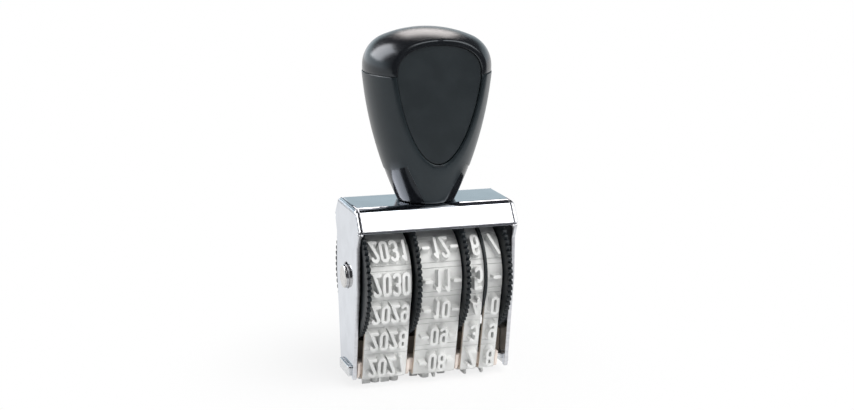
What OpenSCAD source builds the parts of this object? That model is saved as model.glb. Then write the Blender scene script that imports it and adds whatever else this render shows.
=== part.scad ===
// Hand date stamp. A bent sheet frame carries a pear-shaped handle and an axle with four
// toothed setting wheels. A rubber band with raised type runs round each wheel's drum and
// round the bridge at the foot. The faces of the printing row lie on z = 0, the middle of the
// frame is x = 0, y = 0, and the side that the date is set from faces -Y.

/* [Frame] */
// Thickness of the sheet that the frame is bent from
sheet = 0.8; // [0.5:0.1:0.8]
// Room between the bands' type and the head of the handle screw
top_room = 1.05; // [0.6:0.05:3]
// Depth of the flat part of the top
top_d = 11.2; // [10:0.2:12]
// Depth of the hood across its two lips
hood_d = 17.7; // [17.4:0.1:18]
// Height of the hood, from its lips to the top face
hood_h = 3.95; // [3.8:0.05:4.5]
// Fall of the hood's sloping faces below the level
hood_fall = 50; // [46:1:52]
// Radius of the bend between the top and a sloping face
top_bend = 1.2; // [0.9:0.1:1.6]
// Radius of the bend between a sloping face and its lip
lip_bend = 0.9; // [0.9:0.1:1.2]
// Radius of the bends between the top and the cheeks
side_bend = 1; // [0.9:0.1:1.5]
// Depth of the cheeks below the hood
cheek_d = 14.8; // [14:0.2:16]
// Height of the cheeks' slope out to the lips
shoulder_h = 3.2; // [2:0.1:4]
// Depth of the cheeks in the middle of their taper
mid_d = 12.3; // [11.8:0.1:12.6]
// Height of that middle above the type faces
mid_h = 12.4; // [11:0.2:14]
// Depth of the cheeks at their feet
foot_d = 9.2; // [8.6:0.2:10]
// Height of the cheeks' feet above the type faces
foot_h = 1.6; // [1.2:0.1:1.7]
// Height at which the cheeks begin to taper
taper_h = 20.5; // [18:0.5:22]
// Gap at the corners where a sloping face ends beside a cheek
seam = 0.3; // [0.15:0.05:0.4]

/* [Axle] */
// Height of the axle above the type faces
axle_h = 21.4; // [20.8:0.1:21.8]
// Radius of the axle
axle_r = 2.3; // [1.8:0.1:2.4]
// Length of axle that stands out of each cheek
axle_out = 0.8; // [0.4:0.1:1.2]
// Radius of the axle holes in the cheeks
axle_hole_r = 2.55; // [2.5:0.05:2.8]
// Running clearance round the axle
running = 0.05; // [0.03:0.01:0.08]

/* [Wheels] */
// Radius of the toothed discs to the tips of their teeth
disc_r = 12.15; // [11.6:0.05:12.3]
// Thickness of the toothed discs
disc_t = 0.77; // [0.7:0.01:1]
// Teeth round each disc
teeth = 64; // [48:4:72]
// Depth of the teeth
tooth_h = 0.35; // [0.2:0.05:0.5]
// Width of the raised ring inside the teeth
ring_w = 1.7; // [1:0.1:2]
// Depth of the dished part of a disc's face
dish = 0.15; // [0.1:0.01:0.2]
// Radius of the drums that the bands run round
drum_r = 7.95; // [7.6:0.05:8]
// Wall of the hollow drums
drum_wall = 1.2; // [0.9:0.1:1.5]
// Wall of the hubs round the axle
hub_wall = 1.3; // [1:0.1:1.6]
// Grooves along each drum, which grip its band
grooves = 26; // [13:13:26]
// Gap between a turning face and its neighbour
side_gap = 0.15; // [0.1:0.01:0.2]
// Radius of the divider between the day drums
divider_r = 9.9; // [9.2:0.1:10.5]
// Thickness of the divider
divider_t = 0.3; // [0.25:0.05:0.5]
// Length of the spacer beside the units wheel
spacer_w = 1.17; // [0.8:0.01:2]

/* [Bands] */
// Width of the year band
year_w = 8.75; // [8.4:0.05:10]
// Width of the month band
month_w = 8.55; // [8.4:0.05:10]
// Width of the band for the tens of the day
tens_w = 3.3; // [3:0.05:4]
// Width of the band for the units of the day
units_w = 3.15; // [3:0.05:4]
// Room beside each band between its two neighbours
band_play = 0.45; // [0.45:0.05:0.6]
// Offset of the year band from the middle of its room
year_off = -0.15; // [-0.15:0.05:0.15]
// Offset of the month band from the middle of its room
month_off = 0.15; // [-0.15:0.05:0.15]
// Offset of the tens band from the middle of its room
tens_off = 0.15; // [-0.15:0.05:0.15]
// Thickness of the bands
band_t = 0.9; // [0.8:0.05:1.1]
// Clearance between a drum and its band
band_gap = 0.1; // [0.06:0.02:0.14]
// Radius of the bands' outer bend round the foot
foot_bend = 1.1; // [0.9:0.1:1.3]
// Height of the raised type
relief = 1.5; // [1.3:0.05:1.6]
// Height of a character along the band
type_h = 4; // [3.5:0.1:4.4]
// Width of a character
type_w = 1.6; // [1.4:0.05:1.7]
// Spacing of the characters across the band
type_pitch = 2.05; // [1.95:0.05:2.1]
// Length and thickness of the dashes beside the month
dash = 0.9; // [0.6:0.1:1.2]
// Spacing of the type rows along a band's outer face
row_pitch = 5.8; // [5.4:0.05:5.8]
// Distance of the first side row from the middle of the foot, along the band
first_row = 8.05; // [8:0.05:8.8]
// How far the printing row sits towards the front
row_shift = 0.6; // [0:0.1:0.8]

/* [Bridge] */
// Depth of the bridge's foot between its two lower edges
bridge_d = 8.1; // [8:0.1:8.6]
// Height of the bridge's ribs above its bar
bridge_top = 1.1; // [0.6:0.1:1.6]
// Thickness of the bridge's floor under its bar
bridge_floor = 0.3; // [0.2:0.05:0.5]
// Thickness of the web that stands in the middle of the bridge
web_d = 4; // [3:0.2:5]
// Gap between that web and the toothed discs
web_gap = 0.5; // [0.4:0.1:1]
// Depth of the bridge's bar
bar_d = 6.8; // [6:0.1:6.8]
// Thickness of the bridge's bar between the cheeks
bar_t = 1.2; // [1:0.1:1.4]
// How far the bar's ends hang below its middle
bar_drop = 0.85; // [0.5:0.05:0.9]
// Length of bar that stands out of each cheek
bar_out = 0.6; // [0.5:0.05:1.3]
// Clearance round the bar, and between the bridge and its neighbours
seat = 0.05; // [0.03:0.01:0.1]
// Width of the bridge's ribs at the right of the bands
rib_w = 0.62; // [0.4:0.02:0.7]
// Width of the rib beside the left cheek
end_rib_w = 0.4; // [0.3:0.02:0.7]
// How far the ribs stand out beside the bands
rib_out = 0.7; // [0.5:0.1:0.8]
// Gap between a rib and the bands beside it
rib_gap = 0.12; // [0.1:0.01:0.15]

/* [Handle] */
// Radius of the handle where it stands on the frame
neck_r = 5.7; // [5:0.1:6]
// Radius of the handle's body at its seam
seam_r = 12.46; // [11.5:0.02:13]
// Height of the seam above the frame
seam_h = 25.05; // [23:0.05:27]
// Radius of the bulge of the body's side
bulge_r = 75; // [60:1:100]
// Step from the body in to the cap
cap_step = 0.1; // [0.05:0.05:0.2]
// Height of the cap above the seam
cap_h = 8.35; // [7.8:0.05:9]
// Radius of the cap's crown
crown_r = 22.5; // [21:0.5:24]
// Radius of the cap's shoulder
shoulder_r = 6; // [5.4:0.1:6.4]
// Groove at the seam between the body and the cap
seam_groove = 0.15; // [0.1:0.05:0.25]
// Depth of the handle across its two flats
flat_d = 16.9; // [16:0.1:18]
// Depth of the pockets in the flats
pocket = 1; // [0.8:0.1:1.3]
// Thickness of the panels in the pockets
panel_t = 0.6; // [0.4:0.05:0.7]
// Inset of a pocket from the handle's outside
rim = 0.6; // [0.5:0.05:0.8]
// How far a pocket's outline sits below the handle's
rim_drop = 0.3; // [0.1:0.05:0.4]
// Height above the frame of the polished collar round the neck
collar_h = 7.8; // [6:0.1:9]
// Depth of the step at the top of that collar
collar_step = 0.15; // [0.1:0.05:0.25]
// Width of the plain tongue in the collar, at the frame
tongue_w = 3.6; // [3:0.2:5]
// Width of the tongue at the top of the collar
tongue_top = 11; // [9:0.2:12]

/* [Handle screw] */
// Radius of the screw's shank
screw_r = 1.5; // [1.2:0.1:1.8]
// Length of the screw in the handle
screw_l = 13; // [10:0.5:16]
// Radius of the screw's head
head_r = 2.8; // [2.4:0.1:3.2]
// Height of the screw's head
head_h = 1.7; // [1.2:0.1:1.8]
// Radius of the washer
washer_r = 3.5; // [3.3:0.1:3.8]
// Thickness of the washer
washer_t = 0.5; // [0.4:0.1:0.6]

/* [Hidden] */
fine = 96;
small = 48;
reach = 100;

// Places along the axle, from the left cheek to the right one.
inner_w = 2 * side_gap + 4 * disc_t + year_w + month_w + tens_w + units_w + 4 * band_play
  + divider_t + spacer_w;
frame_w = inner_w + 2 * sheet;
year_x = -inner_w / 2 + side_gap;
month_x = year_x + disc_t + year_w + band_play;
tens_x = month_x + disc_t + month_w + band_play;
divider_x = tens_x + disc_t + tens_w + band_play;
units_x = divider_x + divider_t + units_w + band_play;
spacer_x = units_x + disc_t;
year_band_x = year_x + disc_t + band_play / 2 + year_off;
month_band_x = month_x + disc_t + band_play / 2 + month_off;
tens_band_x = tens_x + disc_t + band_play / 2 + tens_off;
units_band_x = divider_x + divider_t + band_play / 2;

// Height of the frame's top face above the type faces.
frame_h = axle_h + drum_r + band_gap + band_t + relief + top_room + head_h + washer_t + sheet;

// The path of the bands: flat under the bridge, straight up to the drum and round it.
belt_r = drum_r + band_gap;
belt_foot = [bridge_d / 2, relief + band_t];
rise = axle_h - belt_foot.y;
to_axle = norm([belt_foot.x, rise]);
lean = asin(belt_r / to_axle) - atan(belt_foot.x / rise);
side_l = sqrt(to_axle ^ 2 - belt_r ^ 2);
side_dir = [sin(lean), cos(lean)];
side_out = [cos(lean), -sin(lean)];
corner = tan((90 - lean) / 2);

function foot_at(d) = [belt_foot.x + d * corner, belt_foot.y - d];
function touch_at(d) = belt_foot + side_l * side_dir + d * side_out;
function flip(p) = [-p.x, p.y];

// A point on the bands' outer face, s along it from the middle of the printing row, with the
// turn that lays a flat piece on it there.
outer_foot = foot_at(band_t);
outer_side = side_l + band_t * corner;
function on_band(s) =
  s <= outer_foot.x ? [s, outer_foot.y, 0]
  : s <= outer_foot.x + outer_side
    ? concat(outer_foot + (s - outer_foot.x) * side_dir, 90 - lean)
    : let (turn = (s - outer_foot.x - outer_side) / (belt_r + band_t) * 180 / PI)
      [cos(turn - lean) * (belt_r + band_t), axle_h + sin(turn - lean) * (belt_r + band_t),
       90 - lean + turn];

half_loop = outer_foot.x + outer_side + (90 + lean) * PI / 180 * (belt_r + band_t);
side_rows = 5;
last_row = first_row + (side_rows - 1) * row_pitch;
back_row = last_row + 4 * (half_loop - last_row) / 3;
rows = [for (i = [0 : side_rows - 1]) first_row + i * row_pitch];
type_sink = 0.4;

// Extrudes a Y-Z outline along X, from x over a width w.
module along_x(x, w) {
  translate([x, 0, 0]) rotate([90, 0, 90]) linear_extrude(w) children();
}

// The outside of the bands' path, d outside their inner face, with its foot sharp or bent to
// radius r.
module belt(d, r = 0) {
  c = foot_at(d - r);
  side = r > 0 ? [c - [0, r], c + r * side_out, touch_at(d)] : [c, touch_at(d)];
  polygon(concat(side, [for (i = [len(side) - 1 : -1 : 0]) flip(side[i])]));
  if (r > 0) for (p = [c, flip(c)]) translate(p) circle(r, $fn = small);
  translate([0, axle_h]) circle(belt_r + d, $fn = fine);
}

hood_edge = hood_d / 2;
fall_y = top_d / 2 + top_bend * tan(hood_fall / 2);
fall_z = frame_h - (hood_edge - fall_y) * tan(hood_fall);
lip_turn = 90 - hood_fall;
lip_h = frame_h - hood_h;

// The hood's outline, d inside its outer face, closed at the lips.
module hood(d) {
  top_c = [top_d / 2, frame_h - top_bend];
  lip_c = [hood_edge - lip_bend, fall_z - lip_bend * tan(lip_turn / 2)];
  slope_out = [sin(hood_fall), cos(hood_fall)];
  top_r = top_bend - d;
  lip_r = lip_bend - d;
  side = [
    [hood_edge - d, lip_h], lip_c + [lip_r, 0], lip_c + lip_r * slope_out,
    top_c + top_r * slope_out, top_c + [0, top_r],
  ];
  polygon(concat(side, [for (i = [len(side) - 1 : -1 : 0]) flip(side[i])]));
  for (m = [0, 1]) mirror([m, 0]) {
    translate(top_c) circle(max(top_r, 0.01), $fn = small);
    translate(lip_c) circle(lip_r, $fn = small);
  }
}

// The outline of a cheek below the hood, with its shoulder at the lips.
module cheek() {
  foot_cut = 0.15;
  lip_depth = 0.7;
  side = [
    [foot_d / 2 - foot_cut, foot_h], [foot_d / 2, foot_h + foot_cut], [mid_d / 2, mid_h],
    [cheek_d / 2, taper_h], [cheek_d / 2, lip_h - shoulder_h],
    [hood_edge, lip_h - lip_depth], [hood_edge, lip_h],
  ];
  polygon(concat(side, [for (i = [len(side) - 1 : -1 : 0]) flip(side[i])]));
}

// The frame seen from the front, d inside its outer face, with bent upper corners.
module front_outline(d) {
  r = side_bend - d;
  half = frame_w / 2 - d;
  translate([-half, -1]) square([2 * half, frame_h - side_bend + 1]);
  translate([-half + r, -1]) square([2 * (half - r), frame_h - d + 1]);
  for (s = [-1, 1]) translate([s * (half - r), frame_h - side_bend]) circle(r, $fn = small);
}

module front_prism(d, depth) {
  translate([0, depth / 2, 0]) rotate([90, 0, 0]) linear_extrude(depth) front_outline(d);
}

bar_z = belt_foot.y + seat + bridge_floor + seat;
bar_top = bar_z + bar_t;

module frame() {
  color("silver") difference() {
    intersection() {
      along_x(-frame_w / 2, frame_w) union() {
        hood(0);
        cheek();
      }
      front_prism(0, 2 * hood_d);
    }
    intersection() {
      along_x(-inner_w / 2, inner_w) union() {
        hood(sheet);
        translate([-hood_d, -1]) square([2 * hood_d, lip_h + 1.001]);
      }
      front_prism(sheet, 3 * hood_d);
    }
    for (s = [-1, 1], t = [-1, 1])
      translate([s * (inner_w + seam) / 2, t * (fall_y + hood_edge) / 2, frame_h - hood_h / 2])
        cube([seam, hood_edge - fall_y + 0.5, hood_h + 1], center = true);
    translate([-reach / 2, 0, axle_h + axle_hole_r - axle_r - running]) rotate([0, 90, 0])
      cylinder(r = axle_hole_r, h = reach, $fn = small);
    translate([-reach / 2, -bar_d / 2 - seat, 0]) cube([reach, bar_d + 2 * seat, bar_top + seat]);
    translate([0, 0, lip_h]) cylinder(r = screw_r + 4 * seat, h = reach, $fn = small);
  }
}

axle_l = frame_w + 2 * axle_out;
module axle() {
  edge = 0.2;
  color("lightsteelblue") translate([0, 0, axle_h]) rotate([0, 90, 0])
    rotate_extrude($fn = fine) polygon([
      [0, -axle_l / 2], [axle_r - edge, -axle_l / 2], [axle_r, -axle_l / 2 + edge],
      [axle_r, axle_l / 2 - edge], [axle_r - edge, axle_l / 2], [0, axle_l / 2],
    ]);
}

// A toothed disc's outline: rounded teeth with a narrow gap between them.
module toothed_outline() {
  polygon([
    for (i = [0 : teeth - 1], p = [[0, 0], [0.25, 0.68], [0.5, 1], [0.75, 0.68]])
      let (a = (i + p.x) * 360 / teeth, r = disc_r - tooth_h * (1 - p.y)) r * [cos(a), sin(a)],
  ]);
}

// A wheel along +Z: its disc from z = 0, and a drum of length l after it.
module wheel(l) {
  hub_r = axle_r + running + hub_wall;
  face_r = disc_r - tooth_h - ring_w;
  groove_r = 0.25;
  difference() {
    union() {
      linear_extrude(disc_t) toothed_outline();
      cylinder(r = drum_r, h = disc_t + l, $fn = fine);
    }
    translate([0, 0, -1]) cylinder(r = axle_r + running, h = l + disc_t + 2, $fn = small);
    translate([0, 0, 2 * disc_t]) difference() {
      cylinder(r = drum_r - drum_wall, h = l + 1, $fn = fine);
      cylinder(r = hub_r, h = l + 1, $fn = small);
    }
    translate([0, 0, -1]) difference() {
      cylinder(r = face_r, h = 1 + dish, $fn = fine);
      cylinder(r = hub_r, h = 1 + dish, $fn = small);
    }
    for (i = [0 : grooves - 1]) rotate(i * 360 / grooves)
      translate([drum_r, 0, disc_t]) cylinder(r = groove_r, h = l + 1, $fn = 16);
  }
}

// Lays a wheel on the axle with its disc's outer face at x, its drum towards +X or -X.
module on_axle(x, side = 1) {
  translate([x, 0, axle_h]) rotate([0, side * 90, 0]) children();
}

module year_wheel() {
  color("dimgray") on_axle(year_x) wheel(month_x - year_x - disc_t - side_gap);
}

module month_wheel() {
  color("dimgray") on_axle(month_x) wheel(tens_x - month_x - disc_t - side_gap);
}

module tens_wheel() {
  color("dimgray") on_axle(tens_x) wheel(divider_x - tens_x - disc_t - side_gap);
}

module units_wheel() {
  color("dimgray") on_axle(units_x + disc_t, -1)
    wheel(units_x - divider_x - divider_t - side_gap);
}

module divider() {
  color("black") on_axle(divider_x) difference() {
    cylinder(r = divider_r, h = divider_t, $fn = fine);
    translate([0, 0, -1]) cylinder(r = axle_r + running, h = divider_t + 2, $fn = small);
  }
}

module spacer() {
  color("black") on_axle(spacer_x + side_gap / 2) difference() {
    cylinder(r = axle_r + running + hub_wall, h = spacer_w, $fn = small);
    translate([0, 0, -1]) cylinder(r = axle_r + running, h = spacer_w + 2, $fn = small);
  }
}

// Lays a flat piece on a band's outer face, s along it, at the front for side -1.
module at_row(s, side) {
  p = on_band(s);
  translate([0, side * p.x, p.y]) rotate([side * p.z, 0, 0]) children();
}

// One row of type: a block for each character, or a dash, centred on x = 0.
module type_row(shapes) {
  n = len(shapes);
  for (i = [0 : n - 1]) {
    w = shapes[i] == "-" ? dash * 1.5 : type_w;
    h = shapes[i] == "-" ? dash : type_h;
    translate([(i - (n - 1) / 2) * type_pitch - w / 2, -h / 2, -relief])
      cube([w, h, relief + type_sink]);
  }
}

// A band from x over a width w, with rows of type all round.
module band(x, w, shapes) {
  color("gainsboro") union() {
    along_x(x, w) difference() {
      belt(band_t, foot_bend);
      belt(0);
    }
    translate([x + w / 2, 0, 0]) {
      at_row(row_shift, -1) type_row(shapes);
      for (s = rows, side = [-1, 1]) at_row(s, side) type_row(shapes);
      at_row(back_row, -1) type_row(shapes);
    }
  }
}

module year_band() { band(year_band_x, year_w, "2026"); }
module month_band() { band(month_band_x, month_w, "-07-"); }
module tens_band() { band(tens_band_x, tens_w, "1"); }
module units_band() { band(units_band_x, units_w, "7"); }

// The ribs' places: beside the left cheek, and at the right of the year, month and units bands.
bridge_x = -inner_w / 2 + seat;
ribs = concat([[bridge_x, end_rib_w]], [
  for (b = [[year_band_x, year_w], [month_band_x, month_w], [units_band_x, units_w]])
    [b[0] + b[1] + rib_gap, rib_w],
]);
bridge_l = ribs[3][0] + rib_w - bridge_x;

// The bridge is moulded round its bar.
module bridge() {
  rib_h = bar_top + bridge_top;
  web_h = axle_h - disc_r - web_gap;
  color("bisque") difference() {
    union() {
      intersection() {
        union() {
          along_x(bridge_x, bridge_l) belt(-seat);
          for (r = ribs) along_x(r[0], r[1]) belt(rib_out, foot_bend);
        }
        translate([-reach / 2, -reach / 2, 0]) cube([reach, reach, rib_h]);
      }
      translate([bridge_x, -web_d / 2, bar_top])
        cube([-2 * bridge_x, web_d, web_h - bar_top]);
    }
    translate([-reach / 2, -bar_d / 2 - seat, bar_z - seat])
      cube([reach, bar_d + 2 * seat, bar_t + 2 * seat]);
  }
}

// The bar's middle lies in the bridge, and its deeper ends stand in notches in the cheeks' feet.
module bridge_bar() {
  half = frame_w / 2 + bar_out;
  edge = 0.25;
  low = bar_z - bar_drop;
  side = [
    [bar_d / 2, low + edge], [bar_d / 2, bar_top - edge], [bar_d / 2 - edge, bar_top],
  ];
  foot = [bar_d / 2 - edge, low];
  color("lightgray") difference() {
    along_x(-half, 2 * half) polygon(concat(
      [foot], side, [for (i = [len(side) - 1 : -1 : 0]) flip(side[i])], [flip(foot)],
    ));
    translate([-inner_w / 2, -bar_d, bar_z - 2 * bar_drop])
      cube([inner_w, 2 * bar_d, 2 * bar_drop]);
  }
}

// The handle's outline as a revolve, made of three arcs: bulge, shoulder and crown.
seam_z = frame_h + seam_h;
cap_top = seam_z + cap_h;
cap_r = seam_r - cap_step;
bulge_chord = [seam_r - neck_r, seam_h];
bulge_side = sqrt(bulge_r ^ 2 - (norm(bulge_chord) / 2) ^ 2);
bulge_c = [neck_r, frame_h] + bulge_chord / 2
  + bulge_side * [-bulge_chord.y, bulge_chord.x] / norm(bulge_chord);
crown_c = [0, cap_top - crown_r];
shoulder_x = cap_r - shoulder_r;
shoulder_c = [shoulder_x, crown_c.y + sqrt((crown_r - shoulder_r) ^ 2 - shoulder_x ^ 2)];

// The body's half outline, d inside its outside.
module body_half(d) {
  intersection() {
    translate(bulge_c) circle(bulge_r - d, $fn = 4 * fine);
    translate([0, frame_h]) square([2 * seam_r, seam_h]);
  }
}

// The cap's half outline, d inside its outside.
module cap_half(d) {
  intersection() {
    union() {
      intersection() {
        translate(crown_c) circle(crown_r - d, $fn = 2 * fine);
        polygon([crown_c, crown_c + 2 * (shoulder_c - crown_c), [0, crown_c.y + 2 * crown_r]]);
      }
      translate(shoulder_c) circle(shoulder_r - d, $fn = fine);
      translate([0, seam_z]) square([cap_r - d, shoulder_c.y - seam_z]);
    }
    translate([0, seam_z]) square([2 * seam_r, 2 * cap_h]);
  }
}

module flats() {
  for (s = [-1, 1]) translate([0, s * (flat_d + reach) / 2, 0])
    cube([reach, reach, 3 * reach], center = true);
}

// The pocket behind each flat, or with gap the panel's outline in it.
module pocket_form(gap) {
  translate([0, 0, -rim_drop]) rotate_extrude($fn = fine) {
    body_half(rim + gap);
    cap_half(rim + gap);
  }
}

module pockets() {
  for (s = [-1, 1]) intersection() {
    pocket_form(0);
    translate([0, s * (flat_d + reach) / 2 - s * pocket, 0])
      cube([reach, reach, 3 * reach], center = true);
  }
}

spigot_r = 6;
spigot_h = 3;
module handle_body() {
  color("darkslategray") difference() {
    rotate_extrude($fn = fine) body_half(0);
    flats();
    pockets();
    intersection() {
      difference() {
        translate([0, 0, frame_h - 1]) cylinder(r = 2 * neck_r, h = collar_h + 1, $fn = fine);
        rotate_extrude($fn = fine) body_half(collar_step);
      }
      for (s = [-1, 1]) rotate([90, 0, 0]) linear_extrude(reach, center = true) polygon([
        [s * tongue_w / 2, frame_h - 1], [s * tongue_w / 2, frame_h],
        [s * tongue_top / 2, frame_h + collar_h], [s * reach, frame_h + collar_h],
        [s * reach, frame_h - 1],
      ]);
    }
    translate([0, 0, seam_z - spigot_h]) cylinder(r = spigot_r + seat, h = reach, $fn = small);
    translate([0, 0, frame_h - 1]) cylinder(r = screw_r + seat, h = screw_l + 1.5, $fn = small);
  }
}

module handle_cap() {
  color("black") difference() {
    union() {
      rotate_extrude($fn = fine) cap_half(0);
      translate([0, 0, seam_z - spigot_h + seat]) cylinder(r = spigot_r, h = spigot_h, $fn = small);
    }
    difference() {
      translate([0, 0, seam_z]) cylinder(r = 2 * seam_r, h = seam_groove, $fn = fine);
      translate([0, 0, seam_z - 1])
        cylinder(r = cap_r - 2 * seam_groove, h = seam_groove + 2, $fn = fine);
    }
    flats();
    pockets();
  }
}

// A panel on the floor of its pocket, at the front for side -1.
module panel(side) {
  intersection() {
    pocket_form(seat);
    translate([0, side * (flat_d / 2 - pocket + panel_t / 2), 0])
      cube([reach, panel_t, 3 * reach], center = true);
  }
}

module front_panel() { color("darkslategray") panel(-1); }
module rear_panel() { color("darkslategray") panel(1); }

plate_z = frame_h - sheet;
module screw_washer() {
  color("silver") translate([0, 0, plate_z - washer_t]) difference() {
    cylinder(r = washer_r, h = washer_t, $fn = small);
    translate([0, 0, -1]) cylinder(r = screw_r + seat, h = washer_t + 2, $fn = small);
  }
}

module handle_screw() {
  slot_w = 0.8;
  slot_d = 0.7;
  head_z = plate_z - washer_t - head_h;
  color("silver") difference() {
    union() {
      translate([0, 0, head_z]) cylinder(r = head_r, h = head_h, $fn = small);
      translate([0, 0, head_z]) cylinder(r = screw_r, h = frame_h + screw_l - head_z, $fn = small);
    }
    translate([0, 0, head_z]) cube([3 * head_r, slot_w, 2 * slot_d], center = true);
  }
}

frame();
axle();
year_wheel();
month_wheel();
tens_wheel();
units_wheel();
divider();
spacer();
year_band();
month_band();
tens_band();
units_band();
bridge();
bridge_bar();
handle_body();
handle_cap();
front_panel();
rear_panel();
handle_screw();
screw_washer();
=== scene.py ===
import math

import bmesh
import bpy
from bpy.props import FloatProperty, FloatVectorProperty, PointerProperty
from mathutils import Matrix, Vector


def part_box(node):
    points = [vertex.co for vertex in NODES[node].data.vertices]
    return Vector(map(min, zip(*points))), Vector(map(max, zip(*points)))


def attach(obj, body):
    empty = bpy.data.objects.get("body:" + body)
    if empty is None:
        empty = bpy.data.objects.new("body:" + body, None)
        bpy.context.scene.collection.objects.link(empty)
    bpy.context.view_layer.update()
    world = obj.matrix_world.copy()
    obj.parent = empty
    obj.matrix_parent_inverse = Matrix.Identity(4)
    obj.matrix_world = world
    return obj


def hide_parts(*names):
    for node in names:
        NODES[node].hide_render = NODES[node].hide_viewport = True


bl_info = {
    "name": "Date Stamp",
    "version": (1, 0, 0),
    "blender": (4, 5, 0),
    "location": "3D View > Sidebar > Date Stamp",
    "description": "Dresses the packed date stamp with its type, its finishes and a plain studio",
    "category": "Object",
}

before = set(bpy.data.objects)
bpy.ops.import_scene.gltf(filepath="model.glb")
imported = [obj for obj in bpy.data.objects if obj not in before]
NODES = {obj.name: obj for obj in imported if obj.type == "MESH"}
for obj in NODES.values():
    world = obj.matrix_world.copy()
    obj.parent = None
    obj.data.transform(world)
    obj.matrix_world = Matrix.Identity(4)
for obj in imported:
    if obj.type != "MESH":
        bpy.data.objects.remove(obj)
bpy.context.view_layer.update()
MM = 0.001

# All sizes below are in millimetres.
# The path of the bands: flat at the foot, straight up and round the drum.
AXLE_H = 21.4
BELT_R = 8.05
BAND_T = 0.9
RELIEF = 1.5
FOOT = Vector((4.05, RELIEF + BAND_T))
FIRST_ROW = 8.05
ROW_PITCH = 5.8
ROW_SHIFT = 0.6
SIDE_ROWS = 5
FOOT_BEND, BEND_STEPS = 0.95, 8
BAND_EDGE = 0.1
BAND_STEPS = 240
GROOVE_AT, GROOVE_FLANK = 0.53, 0.09
# The sides of a band's cross-section, counted in rubber_loop's ring, that show cut rubber.
CUT_SIDES = (0, 6, 7, 9)

# How much wider than its face a stroke of type is, at heights over the band.
STROKE_FLANK = ((0.2, -0.25), (0.18, 0), (0.08, 0.25), (0.03, 0.6), (0, RELIEF - 0.06),
                (-0.05, RELIEF))

RISE = AXLE_H - FOOT.y
TO_AXLE = math.hypot(FOOT.x, RISE)
LEAN = math.asin(BELT_R / TO_AXLE) - math.atan(FOOT.x / RISE)
SIDE_L = math.sqrt(TO_AXLE ** 2 - BELT_R ** 2)
SIDE_DIR = Vector((math.sin(LEAN), math.cos(LEAN)))
SIDE_OUT = Vector((math.cos(LEAN), -math.sin(LEAN)))
CORNER = math.tan((math.pi / 2 - LEAN) / 2)
OUTER_FOOT = FOOT + Vector((BAND_T * CORNER, -BAND_T))
OUTER_SIDE = SIDE_L + BAND_T * CORNER
OUTER_R = BELT_R + BAND_T
HALF_LOOP = OUTER_FOOT.x + OUTER_SIDE + (math.pi / 2 + LEAN) * OUTER_R

# The frame's sheet, with the hood's cross-section as (depth, height), and the corners of a
# cheek as depth, height and rounding.
FRAME_HALF = 16.0
SHEET = 0.8
PLATE_Z = 35.9
HOOD_CORNER = Vector((6.0, PLATE_Z))
HOOD_LIP = Vector((8.85, 32.0))
HOOD_BEND = 2.4
SIDE_BEND = 0.9
SEAM_IN, SEAM_OUT, SEAM_SHUT = 15.22, 15.42, 15.27
SEAM_START, SEAM_FOOT = 5.3, 31
CHEEK_CORNERS = [(4.6, 1.6, 0.3), (6.15, 12.4, 8), (7.4, 20.5, 3), (7.4, 28.8, 0.8),
                 (8.7, 31.6, 0.4)]
CHEEK_TOP = 31.9
AXLE_HOLE_R, AXLE_HOLE_Z = 2.55, 21.6
SCREW_HOLE_R = 1.7
NOTCH_HALF, NOTCH_TOP = 3.45, 4.05
BEYOND = 20

# The roots of the wheels' teeth, packed and as they are seen, and the reach of the bridge's web
# that is painted dark as painted shade between the bands.
GAP_R, DEEP_GAP_R = 11.8, 11.3
WEB_HALF, WEB_FOOT = 2.05, 4.2

# The handle as a revolve: a bulge, a shoulder and a crown, cut by two flats.
NECK_R = 5.7
SEAM_R = 12.46
SEAM_Z = PLATE_Z + 25.05
CAP_R = 12.36
CAP_TOP = SEAM_Z + 8.35
BULGE_R, CROWN_R, SHOULDER_R = 75.0, 22.5, 6.0
BULGE_CHORD = Vector((SEAM_R - NECK_R, SEAM_Z - PLATE_Z))
BULGE_C = (Vector((NECK_R, PLATE_Z)) + BULGE_CHORD / 2
           + math.sqrt(BULGE_R ** 2 - BULGE_CHORD.length_squared / 4)
           * Vector((-BULGE_CHORD.y, BULGE_CHORD.x)) / BULGE_CHORD.length)
CROWN_Z = CAP_TOP - CROWN_R
SHOULDER_X = CAP_R - SHOULDER_R
SHOULDER_Z = CROWN_Z + math.sqrt((CROWN_R - SHOULDER_R) ** 2 - SHOULDER_X ** 2)
SHOULDER_TURN = math.degrees(math.atan2(SHOULDER_Z - CROWN_Z, SHOULDER_X))
CROWN_END = 89.6
FLAT_HALF = 8.45
RIM, RIM_DROP = 0.72, 0.3
RIM_CUT = 0.2
PANEL_FACE, PANEL_T, PANEL_GAP = 8.05, 0.6, 0.06
PANEL_STEPS = 72
COLLAR_H, COLLAR_STEP, COLLAR_DIP = 7.8, 0.09, 2.0
TONGUE = (1.8, 5.9)
TONGUE_SIDE = 9
COLLAR_ROOT = 0.6
BORE_R, BORE_TOP = 1.55, 14.5
SEAM_CHAMFER = 0.1
BODY_STEPS, CAP_STEPS = 48, 22
BODY_START = 0.25

# Steps in the handle's profile, as (inward, upward) from the neck's foot and the cap's seam.
NECK_EDGE = ((-0.25, 0), (-0.07, 0.08))
CAP_GROOVE = ((-0.3, 0), (-0.3, 0.1), (-0.06, 0.13), (0, 0.22))

# Points closer than this are one, faces flatter than this in degrees are one, and a mitred
# corner reaches out no further than this share allows.
WELD, FLAT_ENOUGH, MITRE_LIMIT = 0.002, 0.4, 0.45

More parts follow.
